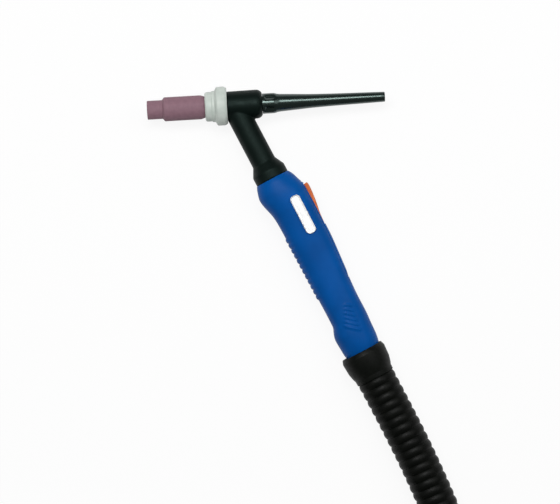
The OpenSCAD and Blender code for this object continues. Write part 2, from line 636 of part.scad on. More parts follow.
// ---- Knuckle and boot ----
module knuckle_ball() color("#0c0d0e") neck_frame() translate([0, tail_y, 0]) difference() {
  union() {
    translate([0, 0, ball_l]) sphere(d = ball_d, $fn = round_fn);
    rod(ball_neck_d, ball_l, neck_end_l);
  }
  rod(ball_bore, ball_l - ball_d, neck_end_l + over);
  translate([0, 0, ball_l - ball_d / 2]) cylinder(r1 = ball_bore / 2 + 3, r2 = ball_bore / 2, h = 5, $fn = round_fn);
}

// The boot's lip stands round the handle's end; its cup leaves room for the bend
lip_l = handle_end_l - lip_reach;
cup_floor_l = handle_end_l + 6.2;
module boot_cap() color("#161817") neck_frame() translate([0, tail_y, 0]) difference() {
  turned([[0, lip_l], [boot_d / 2 - 1.1, lip_l], [boot_d / 2, lip_l + 3],
          [boot_d / 2 - 0.5, lip_l + boot_l * 0.55], [boot_d / 2 - 1.5, lip_l + boot_l * 0.75],
          [boot_end_d / 2 + 0.1, lip_l + boot_l * 0.85], [boot_end_d / 2, boot_end_l], [0, boot_end_l]]);
  turned([[0, lip_l - over], [boot_d / 2 - 1.7, lip_l - over], [boot_d / 2 - 1.9, cup_floor_l - 1],
          [boot_d / 2 - 2.9, cup_floor_l], [0, cup_floor_l]]);
  rod(ball_neck_d + 2 * slip, lip_l, neck_end_l);
  rod(hose_d + 2 * seat, neck_end_l, boot_end_l + over);
}

// ---- Hose pack: hand-chosen route, then a coil in two layers ----
coil_centre = [33, -338, 7.2];
layer_rise = hose_d + 0.6;
reverse_turn = 3.25;
entry_angle = 16.5;
steps_per_turn = 24;
coil_steps = 2 * reverse_turn * steps_per_turn;
// Radius, climb and angle after a number of turns: in to the reversal, up a layer there, and out again
function coil_r(turn) = coil_inner_r + turn_pitch * abs(turn - reverse_turn);
function coil_z(turn) = layer_rise * min(max((turn - reverse_turn) / 0.5 + 0.5, 0), 1);
function coil_point(turn) = let (a = entry_angle - 360 * turn)
  coil_centre + [coil_r(turn) * cos(a), coil_r(turn) * sin(a), coil_z(turn)];
function coil_heading(turn) = let (a = entry_angle - 360 * turn) [sin(a), -cos(a), 0];
straight = hose_d + 2;
coil_entry = coil_point(0) - straight * coil_heading(0);
coil_exit = coil_point(2 * reverse_turn) + straight * coil_heading(2 * reverse_turn);
coil_turns = [for (i = [0:coil_steps]) coil_point(i / steps_per_turn)];
coil_path = concat([coil_entry], coil_turns, [coil_exit]);

boot_end = neck_point(boot_end_l, tail_y);
hose_start = neck_point(neck_end_l, tail_y);
tail_direction = [cos(neck_angle), -sin(neck_angle), 0];
sleeve_first = boot_end + 30 * tail_direction;
sleeve_route = [boot_end, sleeve_first, [88, -153, 15.4], [99, -181, 14.8], [109, -209.5, 14.2],
                [118, -238, 13.9]];
hose_route = concat([hose_start], sleeve_route, [[128, -270, 11.4], coil_entry - 12 * coil_heading(0),
                    coil_entry]);
ribs = floor((length_of(sleeve_route) - 0.5) / rib_pitch);
sleeve_l = ribs * rib_pitch;
sleeve_sides = 12;
module ribbed_sleeve() {
  outer = [for (i = [0:2 * ribs]) let (s = i * rib_pitch / 2)
    ring(along(sleeve_route, s), heading(sleeve_route, s), i % 2 == 0 ? sleeve_d / 2 - groove : sleeve_d / 2,
         sleeve_sides)];
  inner = [for (i = [2 * ribs:-1:0]) if (i % 4 == 0 || i == 2 * ribs) let (s = i * rib_pitch / 2)
    ring(along(sleeve_route, s), heading(sleeve_route, s), sleeve_bore / 2, sleeve_sides)];
  // Outer rings forward, then inner rings back, closed onto the first ring again
  color("#101312") closed_loft(concat(outer, inner));
}
module closed_loft(rings) {
  n = len(rings[0]);
  last = len(rings) - 1;
  sides = [for (k = [0:last - 1]) each band(n, k)];
  close = [for (i = [0:n - 1]) let (a = last * n + i, b = last * n + (i + 1) % n)
    each [[a, b, (i + 1) % n], [a, (i + 1) % n, i]]];
  polyhedron(points = [for (r = rings) each r], faces = concat(sides, close));
}

// A frame at a point of a route, with local Z along the direction there
module route_frame(p, t)
  translate(p) rotate([0, 0, atan2(t.y, t.x)]) rotate([0, 90 - asin(t.z / norm(t)), 0]) children();
sleeve_tip = along(sleeve_route, sleeve_l);
sleeve_tip_direction = heading(sleeve_route, sleeve_l);
module sleeve_end() color("#161817") route_frame(sleeve_tip, sleeve_tip_direction) difference() {
  turned([[0, 0], [sleeve_d / 2, 0], [sleeve_d / 2, 5], [hose_d / 2 + 1.6, 12], [0, 12]]);
  rod(hose_d + 1.2, -over, 12 + over);
}

module hose_run() color("#151716") tube(hose_route, hose_d, 10);
module hose_coil() color("#151716") tube(coil_path, hose_d, 6);

// The far end rises over the coil and lies across it
plug_direction = [0.7071, -0.7071, 0];
plug_start = [19, -318, 47.5];
tail_route = [coil_exit, coil_exit + 12 * coil_heading(2 * reverse_turn), [-79, -316, 27], [-67, -298, 32],
              [-47, -287, 37], [-24, -285, 41], [-2, -295, 45], plug_start - 16 * plug_direction, plug_start];
module hose_tail() color("#151716") tube(tail_route, hose_d, 10);

breakout_l = 36;
grip_l = 54;
grip_d = 33;
module plug_frame() route_frame(plug_start, plug_direction) children();
branch_tilt = 50;
branch_at = 8;
module branch_frame() plug_frame() translate([0, 0, branch_at]) rotate([-branch_tilt, 0, 0]) children();
branch_l = 24;
module breakout_boot() color("#121413") {
  plug_frame() turned([[0, 0], [hose_d / 2 + 2, 0], [hose_d / 2 + 3, 8], [14, 28], [14, breakout_l], [0, breakout_l]]);
  branch_frame() rod(lead_d + 4, 0, branch_l);
}

grip_end = breakout_l + grip_l;
stem_start = breakout_l + 20;
pin_stem_d = 11;
shoulder_d = 15.6;
shoulder_l = 5;
pin_start = grip_end + shoulder_l;
pin_end = pin_start + pin_l;
grip_groove_d = 4;
module plug_grip() color("#17191a") plug_frame() difference() {
  turned([[0, breakout_l], [grip_d / 2 - 2, breakout_l], [grip_d / 2, breakout_l + 2], [grip_d / 2, grip_end - 8],
          [grip_d / 2 - 1.5, grip_end - 6], [grip_d / 2 - 1.5, grip_end], [0, grip_end]]);
  rod(pin_stem_d + 2 * slip, stem_start, grip_end + over);
  for (i = [0:9]) rotate([0, 0, 36 * i]) translate([grip_d / 2 + 0.3 * grip_groove_d, 0, 0])
    rod(grip_groove_d, breakout_l + 6, grip_end - 12);
}

module plug_pin() color("#c7a04a") plug_frame() difference() {
  union() {
    turned([[0, stem_start], [pin_stem_d / 2, stem_start], [pin_stem_d / 2, grip_end],
            [shoulder_d / 2, grip_end], [shoulder_d / 2, pin_start], [pin_d / 2, pin_start],
            [pin_d / 2, pin_end - 1], [pin_d / 2 - 1, pin_end], [0, pin_end]]);
    // The bayonet's key stands on the shoulder
    translate([-2.25, pin_d / 2, grip_end]) cube([4.5, 3.4, shoulder_l]);
  }
  rod(4, stem_start - over, pin_end + over);
}

// Where the branch ends, in the part's frame: the plug's frame is turned by the plug's heading
function branch_end_at(l) = let (c = cos(-45), s = sin(-45), f = branch_at + l * cos(branch_tilt),
                                 y = l * sin(branch_tilt))
  [plug_start.x + f * c - y * s, plug_start.y + f * s + y * c, plug_start.z];
control_direction = [0.1736, -0.9848, 0];
control_start = [118, -348, 38.7];
lead_route = [branch_end_at(branch_l), branch_end_at(branch_l + 8), [72, -316, 46.5], [85, -304, 42.5],
              [94, -290, 38], [105, -279, 34], [118, -281, 32], [126, -294, 32], [127, -312, 34],
              [123.5, -329, 37], control_start - 8 * control_direction, control_start];
module control_lead() color("#1a1c1b") tube(lead_route, lead_d, 8);

control_l = 34;
control_d = 16;
control_bore = 11;
socket_floor = control_l - 8;
module control_frame() route_frame(control_start, control_direction) children();
module control_plug() color("#1d1f20") control_frame() difference() {
  turned([[0, 0], [lead_d / 2 + 1.5, 0], [lead_d / 2 + 2.5, 8], [control_d / 2 - 1, 13],
          [control_d / 2 - 1, control_l], [0, control_l]]);
  rod(control_bore, socket_floor, control_l + over);
}
module control_nut() color("#b9bcc0") control_frame() difference() {
  rod(control_d + 3, control_l - 12, control_l + 2);
  rod(control_d - 2 + 2 * slip, control_l - 12 - over, control_l + 2 + over);
}
module control_pins() color("#c9a227") control_frame() for (i = [0:4]) rotate([0, 0, 72 * i])
  translate([3.2, 0, 0]) rod(1, socket_floor, control_l - 1);

// Distance from the coil's tube to itself, measured between points at least half a turn apart
least_gap = min([for (i = [0:len(coil_turns) - 1], j = [i + 12:1:len(coil_turns) - 1])
  norm(coil_turns[i] - coil_turns[j])]) - hose_d;
echo(coil_least_gap = least_gap, coil_length = length_of(coil_path), run_length = length_of(hose_route),
     tail_length = length_of(tail_route), lead_length = length_of(lead_route),
     sleeve_length = sleeve_l, sleeve_ribs = ribs);

nozzle();
cup_gasket();
collet_body();
collet();
electrode();
head_core();
neck_tube();
head_cover();
back_cap();
back_cap_seal();
handle_shell_left();
handle_shell_right();
handle_screws();
label_plate();
switch_module();
trigger();
trigger_pin();
microswitch();
switch_plunger();
switch_terminals();
switch_wires();
power_fitting();
cable_ferrule();
inner_lead();
knuckle_ball();
boot_cap();
ribbed_sleeve();
sleeve_end();
hose_run();
hose_coil();
hose_tail();
breakout_boot();
plug_grip();
plug_pin();
control_lead();
control_plug();
control_nut();
control_pins();
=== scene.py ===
# A dressed model of an air-cooled TIG torch: head, trigger handle, knuckle joint and hose pack.
# Each piece is modelled in millimetres about its own axis, then placed in the torch's frame in metres.
import json
import math

import bpy
from mathutils import Matrix, Vector


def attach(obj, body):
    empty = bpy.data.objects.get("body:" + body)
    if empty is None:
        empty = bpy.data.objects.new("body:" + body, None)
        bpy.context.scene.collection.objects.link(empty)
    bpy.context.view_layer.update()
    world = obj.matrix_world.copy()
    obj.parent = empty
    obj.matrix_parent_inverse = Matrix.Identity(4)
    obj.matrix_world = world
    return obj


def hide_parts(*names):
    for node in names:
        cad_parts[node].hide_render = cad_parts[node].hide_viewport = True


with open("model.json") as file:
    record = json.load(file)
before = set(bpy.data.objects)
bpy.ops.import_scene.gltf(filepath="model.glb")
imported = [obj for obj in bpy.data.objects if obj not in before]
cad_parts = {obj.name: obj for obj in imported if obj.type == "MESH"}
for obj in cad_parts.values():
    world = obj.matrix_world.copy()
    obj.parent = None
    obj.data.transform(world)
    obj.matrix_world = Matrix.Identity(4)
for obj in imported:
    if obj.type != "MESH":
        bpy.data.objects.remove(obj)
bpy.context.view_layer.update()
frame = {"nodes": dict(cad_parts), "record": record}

# ---- The torch's frame ----
MM = 0.001
# The middle of the head, where the neck's axis meets the nozzle's
HEAD = Vector((-22.3, 92.6012, 16.0)) * MM
# The neck's turn about Z from the nozzle's axis, in degrees
NECK_TURN = -65.5
# Sideways step of the ball, boot and hose from the neck's axis, in millimetres
TAIL_OFFSET = -1.0
# Places along the neck's axis from the middle of the head, in millimetres
MOUTH = 57.2
BALL = 180.0
LIP = 190.9
CUP_FLOOR = 197.4
BOOT_END = 211.6
NECK_END = 207.0


def turned_frame(origin, about_z, about_y=90.0):
    """From a piece's own millimetres, with its axis along Z, to the torch's frame in metres."""
    turn = Matrix.Rotation(math.radians(about_z), 4, "Z") @ Matrix.Rotation(math.radians(about_y), 4, "Y")
    return Matrix.Translation(origin) @ turn @ Matrix.Scale(MM, 4)


HEAD_FRAME = turned_frame(HEAD, 0)
NECK_FRAME = turned_frame(HEAD, NECK_TURN)
TAIL_FRAME = NECK_FRAME @ Matrix.Translation((0, TAIL_OFFSET, 0))


# ---- Camera ----
# It looks straight down on the torch as it lies, turned a little so that the head rises to the right
SENSOR = 36
CAMERA_ROLL = -3.3
VIEW_CENTRE = Vector((3.7, -10.233, 16.0)) * MM
VIEW_WIDTH = 386.4 * MM
VIEW_DISTANCE = 2.2
camera_data = bpy.data.cameras.new("camera")
camera_data.sensor_width = SENSOR
camera_data.lens = SENSOR * VIEW_DISTANCE / VIEW_WIDTH
camera_data.clip_end = 20
camera = bpy.data.objects.new("camera", camera_data)
camera.location = VIEW_CENTRE + Vector((0, 0, VIEW_DISTANCE))
camera.rotation_euler = (0, 0, math.radians(CAMERA_ROLL))
bpy.context.collection.objects.link(camera)
bpy.context.scene.camera = camera
bpy.context.scene.view_settings.view_transform = "Standard"

# ---- Colour and materials ----


def shade(code):
    """An sRGB hex colour as linear red, green, blue and alpha."""
    parts = [int(code[i:i + 2], 16) / 255 for i in (1, 3, 5)]
    return [p / 12.92 if p <= 0.04045 else ((p + 0.055) / 1.055) ** 2.4 for p in parts] + [1]


def add(tree, kind, settings=None, **links):
    """Adds a node, sets its properties and free sockets, and links sockets by name or, as i0, by number."""
    item = tree.nodes.new(kind)
    for name, value in (settings or {}).items():
        if name in item.inputs:
            item.inputs[name].default_value = value
        else:
            setattr(item, name, value)
    for name, source in links.items():
        by_number = name[0] == "i" and name[1:].isdigit()
        socket = item.inputs[int(name[1:]) if by_number else name.replace("_", " ")]
        tree.links.new(source, socket)
    return item


def per_mm(size):
    """The texture scale that gives a pattern of this size in millimetres on Object coordinates."""
    return 1 / (size * MM)


def surface(name, **settings):
    """A new material with its shader and its Object coordinates."""
    material = bpy.data.materials.new(name)
    material.use_nodes = True
    tree = material.node_tree
    shader = tree.nodes["Principled BSDF"]
    for key, value in settings.items():
        shader.inputs[key.replace("_", " ")].default_value = value
    place = add(tree, "ShaderNodeTexCoord").outputs["Object"]
    return material, tree, shader, place


def mottle(tree, place, size, low, high):
    """A colour that drifts between two close shades over patches of a size in millimetres."""
    noise = add(tree, "ShaderNodeTexNoise", {"Scale": per_mm(size), "Detail": 3.0}, Vector=place)
    ramp = add(tree, "ShaderNodeValToRGB", {}, Fac=noise.outputs["Fac"])
    first, last = ramp.color_ramp.elements
    first.position, last.position = 0.35, 0.65
    first.color, last.color = shade(low), shade(high)
    return ramp.outputs["Color"]


def grain(tree, place, size, height, strength):
    """A fine surface relief: patches of a size and a height, both in millimetres."""
    noise = add(tree, "ShaderNodeTexNoise", {"Scale": per_mm(size), "Detail": 2.0}, Vector=place)
    relief = add(tree, "ShaderNodeBump", {"Strength": strength, "Distance": height * MM},
                 Height=noise.outputs["Fac"])
    return relief.outputs["Normal"]


def uneven(tree, place, size, low, high):
    """A roughness that varies between two values over patches of a size in millimetres."""
    noise = add(tree, "ShaderNodeTexNoise", {"Scale": per_mm(size), "Detail": 2.0}, Vector=place)
    spread = add(tree, "ShaderNodeMapRange",
                 {"From Min": 0.3, "From Max": 0.7, "To Min": low, "To Max": high},
                 Value=noise.outputs["Fac"])
    return spread.outputs["Result"]


def moulded(name, low, high, rough, grain_size, grain_height, patch=18.0, strength=0.6, **settings):
    """A moulded finish: close shades in broad patches, a fine tool grain and slightly uneven gloss."""
    material, tree, shader, place = surface(name, **settings)
    tree.links.new(mottle(tree, place, patch, low, high), shader.inputs["Base Color"])
    tree.links.new(uneven(tree, place, patch / 3, *rough), shader.inputs["Roughness"])
    tree.links.new(grain(tree, place, grain_size, grain_height, strength), shader.inputs["Normal"])
    return material


def turned_metal(name, low, high, rough, line=0.25, **settings):
    """A turned or drawn metal: fine uneven tool marks and small drifts of colour and gloss."""
    material, tree, shader, place = surface(name, Metallic=1.0, **settings)
    tree.links.new(mottle(tree, place, 4.0, low, high), shader.inputs["Base Color"])
    tree.links.new(uneven(tree, place, 1.2, *rough), shader.inputs["Roughness"])
    tree.links.new(grain(tree, place, line, 0.01, 0.35), shader.inputs["Normal"])
    return material


# Fired alumina, pressed and left unglazed: matt and slightly speckled
alumina = moulded("fired_alumina_mauve", "#856470", "#8b6975", (0.6, 0.75), 0.35, 0.012, patch=2.4,
                  IOR=1.6, Specular_IOR_Level=0.3)
# Moulded fluoropolymer: pale and waxy
fluoropolymer = moulded("moulded_ptfe_pale", "#c0cac3", "#ccd4cd", (0.38, 0.5), 0.8, 0.02, patch=6.0,
                        IOR=1.38)
# Silicone rubber moulded over the head: near black with a soft even sheen
head_rubber = moulded("moulded_silicone_rubber_black", "#050c0a", "#08110e", (0.44, 0.54), 0.6, 0.016,
                      patch=9.0, IOR=1.45, Specular_IOR_Level=0.18, Specular_Tint=(0.7, 1, 0.92, 1))
# Phenolic resin, hot pressed in a polished tool: deep black gloss
phenolic = moulded("pressed_phenolic_gloss_black", "#040a08", "#08110e", (0.22, 0.27), 1.2, 0.002,
                   patch=14.0, strength=0.2, IOR=1.6, Specular_IOR_Level=0.6,
                   Specular_Tint=(0.75, 1, 0.93, 1))
# Glass-filled nylon from a lightly eroded tool: satin blue
handle_nylon = moulded("moulded_nylon_satin_blue", "#004b93", "#00529f", (0.38, 0.48), 0.55, 0.018,
                       patch=22.0, IOR=1.53, Specular_IOR_Level=0.07)
# The same nylon in orange, on the trigger
trigger_nylon = moulded("moulded_nylon_satin_orange", "#cc6330", "#d9733e", (0.36, 0.46), 0.55, 0.02,
                        patch=8.0, IOR=1.53, Specular_IOR_Level=0.2)
# A bare gloss label plate with nothing printed on it
label_vinyl = moulded("gloss_vinyl_plain_white", "#fafbfa", "#ffffff", (0.3, 0.36), 2.0, 0.003,
                      patch=10.0, strength=0.2, IOR=1.5)
# Polished acetal: the knuckle ball
ball_acetal = moulded("turned_acetal_black", "#0a0c0d", "#101213", (0.12, 0.2), 1.0, 0.006, patch=8.0,
                      strength=0.3, IOR=1.48)
# Moulded synthetic rubber: the boot and the strain reliefs
boot_rubber = moulded("moulded_epdm_rubber_black", "#050805", "#090c08", (0.42, 0.54), 0.7, 0.03,
                      patch=7.0, IOR=1.5, Specular_IOR_Level=0.14)
# Softer ribbed rubber
sleeve_rubber = moulded("ribbed_epdm_rubber_black", "#040604", "#080a07", (0.4, 0.52), 0.8, 0.03,
                        patch=5.0, IOR=1.5, Specular_IOR_Level=0.12)
# Extruded rubber hose cover
hose_rubber = moulded("extruded_rubber_hose_black", "#080a09", "#0e110f", (0.4, 0.52), 0.9, 0.03,
                      patch=12.0, IOR=1.5, Specular_IOR_Level=0.2)
# Hard rubber on the plug's grip
grip_rubber = moulded("hard_rubber_grip_black", "#141718", "#1c1f20", (0.5, 0.64), 0.6, 0.04, patch=9.0,
                      IOR=1.5)
# Glass-filled plug housing
plug_nylon = moulded("moulded_nylon_black", "#191b1c", "#212425", (0.4, 0.5), 0.5, 0.025, patch=9.0,
                     IOR=1.53)
# Switch body, its plunger and its wires, and the cap's seal
switch_case = moulded("moulded_pbt_black", "#17181a", "#1e1f21", (0.4, 0.5), 0.5, 0.01, patch=4.0,
                      IOR=1.55)
plunger_acetal = moulded("moulded_acetal_ivory", "#e2ddd0", "#ece8dc", (0.3, 0.4), 0.5, 0.01, patch=3.0,
                         IOR=1.48)
wire_pvc = moulded("extruded_pvc_red", "#a52b2b", "#b83636", (0.35, 0.45), 0.8, 0.01, patch=3.0, IOR=1.53)
seal_rubber = moulded("nitrile_seal_rubber", "#1a1a1a", "#232323", (0.5, 0.6), 0.4, 0.01, patch=2.0,
                      IOR=1.5)
# Metals
brass = turned_metal("turned_brass", "#b08d3c", "#c4a04c", (0.24, 0.36))
copper = turned_metal("turned_copper", "#b5704a", "#c47f58", (0.22, 0.36))
contact_brass = turned_metal("plated_contact_brass", "#c7a04a", "#d4b05c", (0.2, 0.3))
tungsten = turned_metal("ground_tungsten", "#8e9094", "#a2a4a8", (0.28, 0.4), line=0.15)
zinc_steel = turned_metal("zinc_plated_steel", "#9a9da1", "#b0b3b6", (0.26, 0.4))
nickel = turned_metal("nickel_plated_brass", "#b4b7ba", "#c6c8ca", (0.16, 0.28))
tin = turned_metal("tinned_copper", "#b4b8bb", "#c4c7c9", (0.3, 0.42))

# ---- Modelling steps ----


def only(piece):
    """Selects one piece and nothing else, because an operator acts on all that is selected."""
    if bpy.context.object is not None and bpy.context.object.mode != "OBJECT":
        bpy.ops.object.mode_set(mode="OBJECT")
    bpy.ops.object.select_all(action="DESELECT")
    piece.select_set(True)
    bpy.context.view_layer.objects.active = piece
    return piece


def primitive(kind, **settings):
    """Adds a primitive with nothing else selected."""
    if bpy.context.object is not None and bpy.context.object.mode != "OBJECT":
        bpy.ops.object.mode_set(mode="OBJECT")
    bpy.ops.object.select_all(action="DESELECT")
    getattr(bpy.ops.mesh, "primitive_" + kind + "_add")(**settings)
    return only(bpy.context.object)


def set_in_place(piece):
    """Bakes a primitive's own place and size into its mesh."""
    only(piece)
    bpy.ops.object.transform_apply(location=True, rotation=True, scale=True)
    return piece


def clean_up(piece, doubles=0.001):
    """Merges doubled points and turns every face outwards."""
    only(piece)
    bpy.ops.object.mode_set(mode="EDIT")
    bpy.ops.mesh.select_all(action="SELECT")
    bpy.ops.mesh.remove_doubles(threshold=doubles)
    bpy.ops.mesh.normals_make_consistent(inside=False)
    bpy.ops.object.mode_set(mode="OBJECT")
    return piece


def modified(piece, kind, **settings):
    """Adds a modifier and applies it at once."""
    only(piece)
    change = piece.modifiers.new(kind.lower(), kind)
    for name, value in settings.items():
        setattr(change, name, value)
    bpy.ops.object.modifier_apply(modifier=change.name)
    return piece


def bevelled(piece, width, segments=3, angle=40):
    """Rounds the edges that are sharper than an angle in degrees."""
    return modified(piece, "BEVEL", width=width, segments=segments, limit_method="ANGLE",
                    angle_limit=math.radians(angle), harden_normals=False)


def cut(piece, tool, how="DIFFERENCE"):
    """Cuts a piece with a tool, or joins the tool to it, and deletes the tool."""
    modified(piece, "BOOLEAN", operation=how, object=tool, solver="EXACT")
    bpy.data.objects.remove(tool, do_unlink=True)
    return piece


def turned(points, sides=96):
    """A turned piece about Z from [radius, place] points. An outline that ends where it began has a bore."""
    r0, z0 = points[0]
    bored = points[-1] == points[0]
    piece = primitive("circle", vertices=sides, radius=r0, location=(0, 0, z0),
                      fill_type="NOTHING" if bored else "NGON")
    set_in_place(piece)
    bpy.ops.object.mode_set(mode="EDIT")
    bpy.ops.mesh.select_all(action="SELECT")
    for (r0, z0), (r1, z1) in zip(points, points[1:]):
        bpy.ops.mesh.extrude_region_move(TRANSFORM_OT_translate={"value": (0, 0, z1 - z0)})
        bpy.ops.transform.resize(value=(r1 / r0, r1 / r0, 1), center_override=(0, 0, z1))
    bpy.ops.object.mode_set(mode="OBJECT")
    return clean_up(piece)


def rod(diameter, start, end, sides=64):
    """A round bar along Z, also used as a drill."""
    return set_in_place(primitive("cylinder", vertices=sides, radius=diameter / 2, depth=end - start,
                                  location=(0, 0, (start + end) / 2)))


def block(low, high):
    """A box between two corners."""
    size = [b - a for a, b in zip(low, high)]
    piece = primitive("cube", size=1, location=[(a + b) / 2 for a, b in zip(low, high)])
    piece.scale = size
    return set_in_place(piece)


def skin(rings, ends=True):
    """A skin over rings of points: a grid rolled up and stitched, with its ends closed if asked."""
    around = len(rings[0])
    piece = primitive("grid", x_subdivisions=around, y_subdivisions=len(rings) - 1, size=1)
    for k, ring_points in enumerate(rings):
        for i in range(around + 1):
            piece.data.vertices[k * (around + 1) + i].co = ring_points[i % around]
    clean_up(piece, 0.00001)
    if ends:
        bpy.ops.object.mode_set(mode="EDIT")
        bpy.ops.mesh.select_all(action="DESELECT")
        bpy.ops.mesh.select_non_manifold()
        bpy.ops.mesh.fill_holes(sides=0)
        bpy.ops.mesh.select_all(action="SELECT")
        bpy.ops.mesh.normals_make_consistent(inside=False)
        bpy.ops.object.mode_set(mode="OBJECT")
    return piece


def outline(table, s):
    """A smooth value between a table's rows."""
    i = 0
    while i < len(table) - 2 and s >= table[i + 1][0]:
        i += 1

    def slope(k):
        a, b = max(k - 1, 0), min(k + 1, len(table) - 1)
        return (table[b][1] - table[a][1]) / (table[b][0] - table[a][0])

    h = table[i + 1][0] - table[i][0]
    u = min(max((s - table[i][0]) / h, 0), 1)
    return ((2 * u ** 3 - 3 * u ** 2 + 1) * table[i][1] + (u ** 3 - 2 * u ** 2 + u) * h * slope(i)
            + (3 * u ** 2 - 2 * u ** 3) * table[i + 1][1] + (u ** 3 - u ** 2) * h * slope(i + 1))


def step_in(value, low, high):
    """0 below low, 1 above high and a smooth rise between."""
    u = min(max((value - low) / (high - low), 0), 1)
    return u * u * (3 - 2 * u)


def placed(piece, name, where, body, finish, nodes=(), smooth=35):
    """Names and smooths a piece, puts it in the torch's frame on its body and gives it its finish."""
    only(piece)
    bpy.ops.object.shade_smooth_by_angle(angle=math.radians(smooth))
    piece.name = name
    piece.data.name = name
    if where is not None:
        piece.data.transform(where)
    piece.data.materials.clear()
    piece.data.materials.append(finish)
    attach(piece, body)
    if nodes:
        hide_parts(*nodes)
    return piece


def frame_at(point, heading):
    """A frame in millimetres at a point in metres, with Z along the heading and X level or down."""
    flat = math.degrees(math.atan2(heading[1], heading[0]))
    dip = 90 - math.degrees(math.asin(heading[2] / Vector(heading).length))
    return turned_frame(Vector(point), flat, dip)


# ---- Routes: points in metres ----


def metres(points):
    """Points in millimetres as vectors in metres."""
    return [Vector(p) * MM for p in points]


COIL_CENTRE = Vector((33, -338, 7.2))
COIL_INNER = 62.0
TURN_PITCH = 15.0
LAYER_RISE = 14.6
REVERSE_TURN = 3.25
ENTRY_ANGLE = 16.5
STEPS_PER_TURN = 48
HOSE = 14.0
LEAD = 5.0


def coil_point(turn):
    """A point of the coil, in millimetres: in to the reversal, up a layer there, and out again."""
    angle = math.radians(ENTRY_ANGLE - 360 * turn)
    radius = COIL_INNER + TURN_PITCH * abs(turn - REVERSE_TURN)
    climb = LAYER_RISE * min(max((turn - REVERSE_TURN) / 0.5 + 0.5, 0), 1)
    return COIL_CENTRE + Vector((radius * math.cos(angle), radius * math.sin(angle), climb))


def coil_heading(turn):
    """The way the hose runs at a point of the coil, as the coil winds clockwise."""
    angle = math.radians(ENTRY_ANGLE - 360 * turn)
    return Vector((math.sin(angle), -math.cos(angle), 0))


def smooth_route(points, step=4.0):
    """A smooth curve through chosen points, in points about a step apart."""
    points = [Vector(p) for p in points]
    ends = [points[0] * 2 - points[1]] + points + [points[-1] * 2 - points[-2]]
    out = [points[0]]
    for a, b, c, d in zip(ends, ends[1:], ends[2:], ends[3:]):
        span = (c - b).length
        count = max(1, round(span / step))
        leaving = (c - a) * (span / max((c - b).length + (b - a).length, 1e-9))
        arriving = (d - b) * (span / max((d - c).length + (c - b).length, 1e-9))
        for i in range(1, count + 1):
            u = i / count
            out.append(b * (2 * u ** 3 - 3 * u ** 2 + 1) + leaving * (u ** 3 - 2 * u ** 2 + u)
                       + c * (3 * u ** 2 - 2 * u ** 3) + arriving * (u ** 3 - u ** 2))
    return out


SLEEVE_ROUTE = [(64.5391, -100.3613, 16), (76.9799, -127.6602, 16), (88, -153, 15.4), (99, -181, 14.8),
                (109, -209.5, 14.2), (118, -238, 13.9)]
HOSE_START = Vector((62.6315, -96.1755, 16))
# The straight steps where the hose joins its coil, and the straight ends beside them and at the plug
COIL_STEP, COIL_STRAIGHT, PLUG_STRAIGHT = HOSE + 2, 12, 16
LAST_TURN = 2 * REVERSE_TURN
COIL_ENTRY = coil_point(0) - COIL_STEP * coil_heading(0)
COIL_EXIT = coil_point(LAST_TURN) + COIL_STEP * coil_heading(LAST_TURN)
PLUG_HEADING = Vector((0.70710678, -0.70710678, 0))
PLUG_START = Vector((19, -318, 47.5))
run = smooth_route([HOSE_START] + SLEEVE_ROUTE
                   + [(128, -270, 11.4), COIL_ENTRY - COIL_STRAIGHT * coil_heading(0), COIL_ENTRY])
coil = [coil_point(i / STEPS_PER_TURN) for i in range(round(LAST_TURN * STEPS_PER_TURN) + 1)]
tail = smooth_route([COIL_EXIT, COIL_EXIT + COIL_STRAIGHT * coil_heading(LAST_TURN),
                     (-79, -316, 27), (-67, -298, 32), (-47, -287, 37), (-24, -285, 41), (-2, -295, 45),
                     PLUG_START - PLUG_STRAIGHT * PLUG_HEADING, PLUG_START])
hose_path = metres(run + coil + tail)
LEAD_START = Vector((48.5655, -321.565, 47.5))
CONTROL_START = Vector((118, -348, 38.7))
CONTROL_HEADING = Vector((0.1736, -0.9848, 0)).normalized()
LEAD_ROUTE = [LEAD_START, (56.5351, -320.868, 47.5), (72, -316, 46.5), (85, -304, 42.5), (94, -290, 38),
              (105, -279, 34), (118, -281, 32), (126, -294, 32), (127, -312, 34), (123.5, -329, 37),
              CONTROL_START - 8 * CONTROL_HEADING, CONTROL_START]
lead_path = metres(smooth_route(LEAD_ROUTE, 3.0))


def ring_at(points, k, radius, sides):
    """A ring of points square to a route at its point k."""
    ahead = (points[min(k + 1, len(points) - 1)] - points[max(k - 1, 0)]).normalized()
    across = ahead.cross(Vector((0, 0, 1))).normalized()
    up = across.cross(ahead)
    return [points[k] + radius * (across * math.cos(a) + up * math.sin(a))
            for a in (math.tau * i / sides for i in range(sides))]


def tube_along(points, diameter, sides):
    """A round solid cord along a line of points."""
    return skin([ring_at(points, k, diameter / 2, sides) for k in range(len(points))])


hose = placed(tube_along(hose_path, HOSE * MM, 20), "hose", None, "hose_side", hose_rubber,
              ["hose_run", "hose_coil", "hose_tail"])
lead = placed(tube_along(lead_path, LEAD * MM, 14), "control_cable", None, "hose_side", hose_rubber,
              ["control_lead"])

